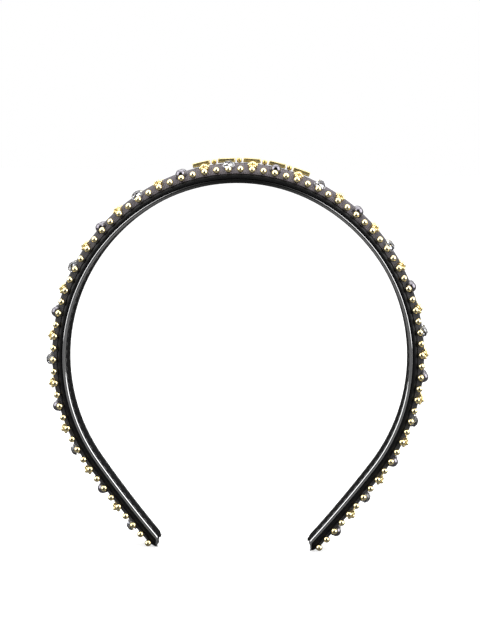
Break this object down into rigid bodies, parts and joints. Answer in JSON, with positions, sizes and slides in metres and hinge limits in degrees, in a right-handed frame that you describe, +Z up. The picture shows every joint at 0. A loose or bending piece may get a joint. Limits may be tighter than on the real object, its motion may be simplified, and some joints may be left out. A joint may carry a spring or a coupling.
{
  "type": "padded headband",
  "caption": "Padded leather headband with a beaded ribbon over the top, round stones, crystals and small gilt plates at the crown.",
  "frame": {"origin": "On the floor that the two tips stand on, midway between them across the head and across the band's width", "axes": "+X across the head to the wearer's left as seen from the front, +Y across the band's width from its front edge to its back edge, +Z up from the tips to the crown"},
  "size_m": [0.1464, 0.0218, 0.1506],
  "materials": {
    "core_plastic": "plain moulded strip",
    "foam": "open foam",
    "black_leather": "smooth fine grain, soft sheen",
    "grey_ribbon": "fine satin weave",
    "ribbed_lining": "cross-ribbed grosgrain",
    "lining_thread": "twisted thread",
    "gilt_beads": "polished pale gilt",
    "bead_thread": "black sewing thread",
    "dark_stone": "polished dark metallic",
    "dark_metal": "blackened metal",
    "crystal": "clear faceted, mirror backed",
    "silver_metal": "bright",
    "gilt_rosettes": "polished gilt",
    "gilt_plates": "polished gilt plate",
    "gilt_posts": "plain gilt"
  },
  "bodies": {
    "root": {"spring_core": "core_plastic", "foam_pad": "foam", "leather_wrap": "black_leather", "left_tip_fold": "black_leather", "right_tip_fold": "black_leather", "bead_ribbon": "grey_ribbon", "lining_ribbon": "ribbed_lining", "front_lining_stitches": "lining_thread", "back_lining_stitches": "lining_thread", "front_edge_beads": "gilt_beads", "back_edge_beads": "gilt_beads", "front_bead_threads": "bead_thread", "back_bead_threads": "bead_thread", "front_dark_stones": "dark_stone", "back_dark_stones": "dark_stone", "front_dark_cups": "dark_metal", "back_dark_cups": "dark_metal", "front_crystals": "crystal", "back_crystals": "crystal", "front_crystal_cups": "silver_metal", "back_crystal_cups": "silver_metal", "front_rosette_backs": "gilt_rosettes", "back_rosette_backs": "gilt_rosettes", "front_rosette_petals": "gilt_rosettes", "back_rosette_petals": "gilt_rosettes", "front_rosette_centres": "gilt_rosettes", "back_rosette_centres": "gilt_rosettes", "crown_plates": "gilt_plates", "crown_studs": "gilt_plates", "plate_posts": "gilt_posts", "post_washers": "silver_metal"}
  },
  "joints": []
}
